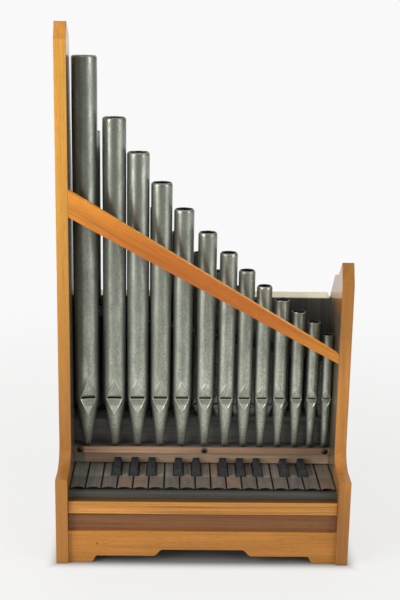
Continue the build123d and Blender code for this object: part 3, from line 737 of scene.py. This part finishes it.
class ORGAN_OT_case_boards(bpy.types.Operator):
    """Finish the side boards, rails and apron with varnished wood"""

    bl_idname = "organ.case_boards"
    bl_label = "Case boards"

    def execute(self, context):
        colours, sizes = context.scene.organ_colours, context.scene.organ_sizes
        edge = sizes.board_edge
        left_top, right_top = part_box("left_cheek")[1][2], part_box("right_cheek")[1][2]
        front = cad_box[0][1]
        # Painted shade: the inner faces of the side boards, behind their front edges and below their tops,
        # are painted dark.
        inner = colours.board_inside_shade
        post = (front + 0.057, front + 0.061)
        # Painted shade: both side boards are painted browner and darker towards the floor.
        left = wood("left board wood", colours.left_board, "Z", offset=(0.3, 0.1, 0.0), contrast=0.3,
                    lines=0.22, coat=0.35,
                    bands=[(colours.board_foot_shade, "Z", 0.54, 0.16),
                           (colours.board_slope, "Z", left_top - 0.024, left_top - 0.022)],
                    faces=[(inner, (1, 0, 0), *post, left_top - 0.04, 0.9)])
        # Painted shade: the right board is painted darker towards its top, below the sloping top.
        right = wood("right board wood", colours.right_board, "Z", offset=(0.9, 0.4, 0.3), contrast=0.35,
                     lines=0.25, coat=0.35,
                     bands=[(tint(colours.board_foot_shade, 0.9), "Z", 0.17, 0.06),
                            (tint(colours.right_board, 0.7), "Z", 0.25, 0.34),
                            (tint(colours.board_slope, 0.6), "Z", right_top - 0.031, right_top - 0.029)],
                     faces=[(inner, (-1, 0, 0), *post, right_top - 0.07, 0.9)])
        dress("left_cheek", left, edge * 0.8)
        dress("right_cheek", right, edge * 0.8)
        low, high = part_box("pipe_rail")
        slope = atan2(high[2] - low[2] - RAIL_HEIGHT, high[0] - low[0])
        # Painted highlight: the top face of the slanting rail is painted paler.
        rail = wood("slanting rail wood", colours.slanting_rail, turn=(0, pi / 2 - slope, 0),
                    offset=(0.2, 0.7, 0.1), contrast=0.3, lines=0.3,
                    bands=[(colours.rail_end, "Z", 0.42, 0.52),
                           (tint(colours.rail_end, 0.8), "Z", 0.345, 0.3)],
                    faces=[(tint(colours.rail_end, 1.5), (sin(slope), 0, cos(slope)), front, front + 0.01,
                            NO_TOP, 0.3)])
        dress("pipe_rail", rail, edge * 0.7)
        apron = wood("apron wood", colours.apron, "X", offset=(0.4, 0.2, 0.6), contrast=0.35, lines=0.25,
                     pores=0.8, fine=2.0, spots=[((-0.149, front + 0.0057, 0.0292), 0.0028, 0.6)])
        dress("apron", apron, edge)
        # Painted shadow: the top face of the front rail, under the key slip, is painted nearly black.
        under_keys = wood("front rail wood", colours.front_rail, "X", offset=(0.1, 0.5, 0.2), contrast=0.35,
                          lines=1.0, fine=2.6,
                          faces=[(tint(colours.front_rail, 0.22), (0, 0, 1), front, front + 0.006,
                                  NO_TOP, 0.06)])
        dress("front_rail", under_keys, edge)
        panel = wood("chest front wood", colours.chest_front, "X", offset=(0.6, 0.3, 0.4), contrast=0.35,
                     lines=0.5, pores=0.9, fine=2.5)
        dress("chest_front", panel, edge * 0.7)
        back = wood("bellows board wood", colours.apron, "X", offset=(0.5, 0.8, 0.1), contrast=0.35,
                    lines=0.4)
        dress("bellows_board", back, edge)
        return {"FINISHED"}


class ORGAN_OT_dark_boards(bpy.types.Operator):
    """Finish the stained boards round the keys, the chest, the batten and the back"""

    bl_idname = "organ.dark_boards"
    bl_label = "Dark boards"

    def execute(self, context):
        colours, sizes = context.scene.organ_colours, context.scene.organ_sizes
        edge = sizes.board_edge * 0.6
        front = cad_box[0][1]
        matt = {"gloss": 0.5, "coat": 0.0}
        stained = {"contrast": 0.4, "lines": 0.35, **matt}
        stain = wood("dark stained wood", tint(colours.dark_board, 0.95), "X", **stained)
        for node in ("wind_chest", "channel_block", "toe_board"):
            dress(node, stain)
        # Dust and painted light: the step behind the pipes gets a paler stain than the other dark boards
        # and a pale top, which lighten the shaded gaps between the pipes.
        dusty_and_lit = wood("dusty stained wood", tint(colours.dark_board, 1.35), "X", **stained,
                     faces=[(colours.dust_and_light, (0, 0, 1), front + 0.09, front + 0.1, NO_TOP, 0.0)])
        dress("rear_step", dusty_and_lit)
        upright = wood("back board wood", tint(colours.dark_board, 0.95), "Z", contrast=0.6,
                       lines=0.5, **matt)
        dress("back_board", upright)
        black = wood("black stained wood", tint(colours.dark_board, 0.6), "X", contrast=0.4,
                     lines=0.3, **matt)
        dress("batten", black, edge * 0.5)
        slip = wood("key slip wood", colours.key_slip, "X", offset=(0.3, 0.0, 0.5), contrast=0.3, lines=0.3,
                    gloss=0.4, coat=0.0)
        dress("key_slip", slip, edge)
        low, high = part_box("toe_strip")
        screw_low, screw_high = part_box("toe_strip_screws")
        reach = (screw_high[2] - screw_low[2]) / 2
        screw_places = (screw_low[0] + reach, 0.0025, screw_high[0] - reach)
        heads = [(x, low[1], screw_low[2] + reach) for x in screw_places]
        # Dirt and the painted shadow of the tall side board: the left ends of the toe strip and the name
        # board are painted darker.
        shaded_left_end = ("X", low[0] + 0.018, low[0] + 0.012)
        strip = wood("toe strip wood", colours.toe_strip, "X", offset=(0.7, 0.6, 0.2), contrast=0.35,
                     lines=0.3, **matt, spots=[(head, 1.8 * reach, 0.6) for head in heads],
                     bands=[(tint(colours.toe_strip, 1.25), "X", 0.02, -0.07),
                            (tint(colours.toe_strip, 0.7), "X", 0.03, 0.16),
                            (tint(colours.toe_strip, 0.45), *shaded_left_end)])
        dress("toe_strip", strip, edge)
        board = wood("name board wood", colours.nameboard, "X", offset=(0.2, 0.3, 0.9), contrast=0.4,
                     lines=0.35, gloss=0.45, coat=0.0, bands=[(colours.nameboard_shaded_end, *shaded_left_end)])
        dress("nameboard", board, edge)
        return {"FINISHED"}


class ORGAN_OT_keys(bpy.types.Operator):
    """Finish the naturals, each with its own wear, and the sharps"""

    bl_idname = "organ.keys"
    bl_label = "Keys"

    def execute(self, context):
        colours, sizes = context.scene.organ_colours, context.scene.organ_sizes
        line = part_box("sharp_01")[0][1] - 0.0014
        for number, wear in enumerate(NATURAL_WEAR, start=1):
            low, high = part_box(f"natural_{number:02d}")
            finish = natural_wood(f"natural {number:02d} wood", colours.natural, colours.natural_worn, wear,
                                  line, (low[0], high[0]), (0.13 * number, 0.07 * number, 0.0))
            dress(f"natural_{number:02d}", finish, sizes.key_edge)
        black = sharp_wood("sharp wood", colours.sharp)
        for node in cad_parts:
            if node.startswith("sharp_"):
                dress(node, black, sizes.key_edge)
        return {"FINISHED"}


class ORGAN_OT_pipes(bpy.types.Operator):
    """Build both rows of flue pipes with pressed lips, mouths, rims and seams"""

    bl_idname = "organ.pipes"
    bl_label = "Flue pipes"

    def execute(self, context):
        colours, sizes = context.scene.organ_colours, context.scene.organ_sizes
        metal = pipe_metal("pipe metal", colours.pipe, colours.pipe_tarnish_and_shade)
        # Painted shade: the inner faces of the pipes get a much darker copy of the pipe metal.
        inside = pipe_metal("pipe inside", tint(colours.pipe, 0.16), tint(colours.pipe_tarnish_and_shade, 0.14),
                            shine=0.6, rough=0.6)
        front = row_centres(FRONT_NOTES, FRONT_END_GAP, FRONT_GAPS)
        build_row("front", FRONT_NOTES, front, FRONT_FOOT, FIRST_PIPE_ANGLE, (metal, inside), sizes, 3)
        rear = row_centres(REAR_NOTES, REAR_END_GAP, REAR_GAPS)
        # Painted light: the rear pipes are painted pale so that they read lighter in the shade behind the
        # front row.
        shaded = pipe_metal("rear pipe metal", colours.rear_pipe_lightened, tint(colours.rear_pipe_lightened, 0.75), 0.55, 0.42)
        build_row("rear", REAR_NOTES, rear, REAR_FOOT, 0.0, (shaded, inside), sizes, 5)
        return {"FINISHED"}


def turned(work, place, turn, profile, steps):
    """A round form turned from a profile of radius and height."""
    spin = Matrix.Translation(place) @ turn
    rings = []
    angles = [2 * pi * step / steps for step in range(steps)]
    for radius, height in profile:
        points = [Vector((radius * cos(angle), radius * sin(angle), height)) for angle in angles]
        rings.append([work.verts.new(spin @ point) for point in points])
    skin(work, [ring + ring[:1] for ring in rings])
    work.faces.new(rings[0][::-1])
    work.faces.new(rings[-1])


class ORGAN_OT_fittings(bpy.types.Operator):
    """Finish the screws and the key rod, and put the nails in the batten"""

    bl_idname = "organ.fittings"
    bl_label = "Screws, rod and nails"

    def execute(self, context):
        colours, sizes = context.scene.organ_colours, context.scene.organ_sizes
        dress("toe_strip_screws", steel("blackened steel", colours.dark_steel, 0.42))
        bright = steel("bright steel", colours.bright_steel, 0.3)
        dress("key_rod", bright)
        low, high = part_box("batten")
        slope = (low[2] + BATTEN_HEIGHT - high[2]) / (high[0] - low[0])
        face = low[1]

        def fill(work):
            for x in NAIL_PLACES:
                height = high[2] - BATTEN_HEIGHT / 2 + slope * (x - low[0])
                size = sizes.nail_radius
                profile = [(size, -0.0002), (size, 0.0002), (size * 0.9, 0.0006), (size * 0.6, 0.0010),
                           (size * 0.2, 0.0012)]
                turned(work, Vector((x, face, height)), Matrix.Rotation(pi / 2, 4, "X"), profile, 16)

        nails = make_piece("batten_nails", fill, bright)
        return {"FINISHED"}


class ORGAN_OT_bellows(bpy.types.Operator):
    """Build the closed bellows: folded side leathers, the band over the top and the hinge strip"""

    bl_idname = "organ.bellows"
    bl_label = "Bellows leather"

    def execute(self, context):
        colours = context.scene.organ_colours
        hide = leather("bellows leather", colours.leather)
        low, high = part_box("bellows_leather")
        board_low, board_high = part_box("bellows_board")
        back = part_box("back_board")[1][1]
        foot_depth = board_low[1] - back
        board_thick = 0.010
        top_depth = high[1] - board_thick - back
        deepest_fold, sag = 0.011, 0.0014
        half = high[0]
        bottom, top = low[2], board_high[2]

        def fill(work):
            chance = random.Random(11)
            for side in (-1, 1):
                def fold(step, across):
                    share, along = step / 40, across / 8
                    depth = foot_depth + (top_depth - foot_depth) * share
                    inward = min(deepest_fold, depth * 0.55) * (1 - abs(2 * along - 1)) ** 0.85
                    inward += 0.0004 + chance.uniform(-1, 1) * 0.0003
                    return side * (half - inward), back + depth * along, bottom + (top - bottom) * share

                sheet(work, 40, 8, fold)

            def band(step, across):
                y = low[1] + 0.0003 + (high[1] - low[1] - 0.0006) * across / 14
                between = max(0.0, 1 - abs((y - back - top_depth / 2) / (top_depth / 2)))
                dip = sag * between * (0.8 + 0.2 * sin(step * 0.9)) + chance.uniform(0, 0.00012)
                return -half + 2 * half * step / 60, y, high[2] - dip

            def hinge(step, across):
                share = across / 6
                z = bottom + 0.0012 + 0.002 * sin(pi * share)
                return -half + 2 * half * step / 30, back + foot_depth * share, z

            sheet(work, 60, 14, band)
            sheet(work, 30, 6, hinge)

        piece = make_piece("bellows_folds", fill, hide)
        thick = piece.modifiers.new("Leather thickness", "SOLIDIFY")
        thick.thickness = 0.001
        thick.offset = -1
        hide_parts("bellows_leather")
        return {"FINISHED"}


def seen_rays(tree):
    """Rays that come from the camera, and rays that come off or through something shiny."""
    path = add(tree, "ShaderNodeLightPath")
    mirrored = maths(tree, "MAXIMUM", path.outputs["Is Glossy Ray"], path.outputs["Is Transmission Ray"])
    return path.outputs["Is Camera Ray"], mirrored


def sideways(tree, place, ahead):
    """How far a point lies to the side for each metre ahead."""
    across = maths(tree, "ABSOLUTE", axis_of(tree, place, "X"))
    return maths(tree, "DIVIDE", across, maths(tree, "MAXIMUM", ahead, 0.05))


def floor_material(base):
    """Pale floor that keeps the shadow and fades into the white background."""
    material, tree, shader = start("studio floor", Roughness=0.9, Specular_IOR_Level=0.0)
    place = object_place(tree)
    grain = stretched_noise(tree, place, (3, 3, 3), detail=2)
    away = add(tree, "ShaderNodeVectorMath", {0: place}, operation="LENGTH").outputs["Value"]
    direct, mirrored = seen_rays(tree)
    seen = maths(tree, "MAXIMUM", direct, mirrored)
    ahead = times(tree, axis_of(tree, place, "Y"), -1.0)
    aside = spread(tree, sideways(tree, place, ahead), 0.3, 1.1, 0.6, 0.0, smooth=True)
    unlit = times(tree, aside, spread(tree, ahead, 0.5, 2.5))
    level = maths(tree, "SUBTRACT", 1.0, times(tree, unlit, mirrored))
    sides = [maths(tree, "SUBTRACT", maths(tree, "ABSOLUTE", axis_of(tree, place, axis)), reach)
             for axis, reach in (("X", cad_box[1][0]), ("Y", cad_box[1][1]))]
    outside = spread(tree, maths(tree, "MAXIMUM", *sides), -0.01, 0.02, smooth=True)
    plain = blend(tree, grain, rgba(base), rgba(tint(base, 0.985)))
    # Painted shadow: inside the organ's footprint the floor is painted dark.
    tree.links.new(blend(tree, outside, rgba(tint(base, 0.25)), plain), shader.inputs["Base Color"])
    near = times(tree, spread(tree, away, 0.3, 1.3, 0.8, 1.0, smooth=True), outside)
    share = times(tree, near, seen)
    far = spread(tree, away, 0.3, 1.6, smooth=True)
    pale = blend(tree, far, (0.88, 0.88, 0.875, 1), (0.95, 0.95, 0.95, 1))
    white = add(tree, "ShaderNodeEmission", {"Color": pale, "Strength": level})
    mix = add(tree, "ShaderNodeMixShader", {0: share, 1: shader.outputs["BSDF"], 2: white.outputs[0]})
    output = next(n for n in tree.nodes if n.type == "OUTPUT_MATERIAL")
    tree.links.new(mix.outputs["Shader"], output.inputs["Surface"])
    return material


def studio_world(scene, room):
    """White for the camera, and for the light a room with a bright backdrop and a bright ceiling."""
    world = bpy.data.worlds.new("studio world")
    scene.world = world
    world.use_nodes = True
    tree = world.node_tree
    tree.nodes.clear()
    way = add(tree, "ShaderNodeTexCoord").outputs["Generated"]
    back = axis_of(tree, way, "Y")
    aside = spread(tree, sideways(tree, way, back), 1.2, 0.5, smooth=True)
    backdrop = times(tree, aside, spread(tree, back, 0.0, 0.2))
    ceiling = spread(tree, axis_of(tree, way, "Z"), 0.2, 0.9, 0.6, 2.4, smooth=True)
    level = times(tree, maths(tree, "ADD", ceiling, times(tree, backdrop, 1.6)), room)
    light = add(tree, "ShaderNodeBackground", {"Color": (1, 1, 1, 1), "Strength": level})
    white = add(tree, "ShaderNodeBackground", {"Color": (0.95, 0.95, 0.95, 1), "Strength": 1.0})
    direct, mirrored = seen_rays(tree)
    seen = maths(tree, "MAXIMUM", direct, times(tree, mirrored, backdrop))
    mix = add(tree, "ShaderNodeMixShader", {0: seen, 1: light.outputs[0], 2: white.outputs[0]})
    output = add(tree, "ShaderNodeOutputWorld")
    tree.links.new(mix.outputs["Shader"], output.inputs["Surface"])


def soft_lamp(name, place, aim, power, width, height):
    """An area lamp aimed at a point."""
    data = bpy.data.lights.new(name, "AREA")
    data.shape = "RECTANGLE"
    data.size = width
    data.size_y = height
    data.energy = power
    lamp = bpy.data.objects.new(name, data)
    bpy.context.scene.collection.objects.link(lamp)
    lamp.location = place
    lamp.rotation_euler = (Vector(aim) - Vector(place)).to_track_quat("-Z", "Y").to_euler()


class ORGAN_OT_stage(bpy.types.Operator):
    """Set up the floor, the background, the lamps and the camera"""

    bl_idname = "organ.stage"
    bl_label = "Studio"

    def execute(self, context):
        scene = context.scene
        studio = scene.organ_studio
        scene.view_settings.view_transform = "Standard"
        mesh = bpy.data.meshes.new("studio_floor")
        work = bmesh.new()
        bmesh.ops.create_grid(work, x_segments=8, y_segments=8, size=6.0)
        work.to_mesh(mesh)
        work.free()
        mesh.materials.append(floor_material(scene.organ_colours.floor))
        floor = bpy.data.objects.new("studio_floor", mesh)
        floor.location = (0, 0, -0.0005)
        scene.collection.objects.link(floor)
        studio_world(scene, studio.room)
        middle = (0, 0, 0.3)
        for name, side, power in (("left lamp", -1.75, studio.left_power),
                                  ("right lamp", 1.75, studio.right_power)):
            soft_lamp(name, (side, -1.15, 1.05), middle, power, 1.3, 1.7)
        pitch, yaw, roll = studio.camera_pitch, studio.camera_yaw, studio.camera_roll
        ahead = Vector((sin(yaw) * cos(pitch), cos(yaw) * cos(pitch), -sin(pitch)))
        level = Vector((cos(yaw), -sin(yaw), 0))
        upright = level.cross(ahead)
        across = cos(roll) * level + sin(roll) * upright
        up = -sin(roll) * level + cos(roll) * upright
        data = bpy.data.cameras.new("photo camera")
        data.lens = studio.lens
        data.sensor_width = 36
        data.sensor_fit = "AUTO"
        data.clip_start = 0.01
        camera = bpy.data.objects.new("photo camera", data)
        scene.collection.objects.link(camera)
        turn = Matrix((across, up, -ahead)).transposed().to_4x4()
        camera.matrix_world = Matrix.Translation(Vector(studio.camera_place)) @ turn
        scene.camera = camera
        return {"FINISHED"}


OPERATORS = (ORGAN_OT_case_boards, ORGAN_OT_dark_boards, ORGAN_OT_keys, ORGAN_OT_pipes, ORGAN_OT_fittings,
             ORGAN_OT_bellows, ORGAN_OT_stage)


class ORGAN_PT_dressing(bpy.types.Panel):
    """Steps and settings of the organ's dressing"""

    bl_idname = "ORGAN_PT_dressing"
    bl_label = "Portative organ"
    bl_space_type = "VIEW_3D"
    bl_region_type = "UI"
    bl_category = "Organ"

    def draw(self, context):
        layout = self.layout
        for operator in OPERATORS:
            layout.operator(operator.bl_idname)
        for group in (context.scene.organ_colours, context.scene.organ_sizes, context.scene.organ_studio):
            for name in group.__annotations__:
                layout.prop(group, name)


CLASSES = (OrganColours, OrganSizes, OrganStudio) + OPERATORS + (ORGAN_PT_dressing,)


def register():
    """Adds the classes and the settings to Blender."""
    for kind in CLASSES:
        bpy.utils.register_class(kind)
    bpy.types.Scene.organ_colours = PointerProperty(type=OrganColours)
    bpy.types.Scene.organ_sizes = PointerProperty(type=OrganSizes)
    bpy.types.Scene.organ_studio = PointerProperty(type=OrganStudio)


def unregister():
    """Takes the settings and the classes out again."""
    del bpy.types.Scene.organ_studio
    del bpy.types.Scene.organ_sizes
    del bpy.types.Scene.organ_colours
    for kind in reversed(CLASSES):
        bpy.utils.unregister_class(kind)


def main():
    """Runs every step in order."""
    register()
    bpy.ops.organ.case_boards()
    bpy.ops.organ.dark_boards()
    bpy.ops.organ.keys()
    bpy.ops.organ.pipes()
    bpy.ops.organ.fittings()
    bpy.ops.organ.bellows()
    bpy.ops.organ.stage()


if __name__ == "__main__":
    main()
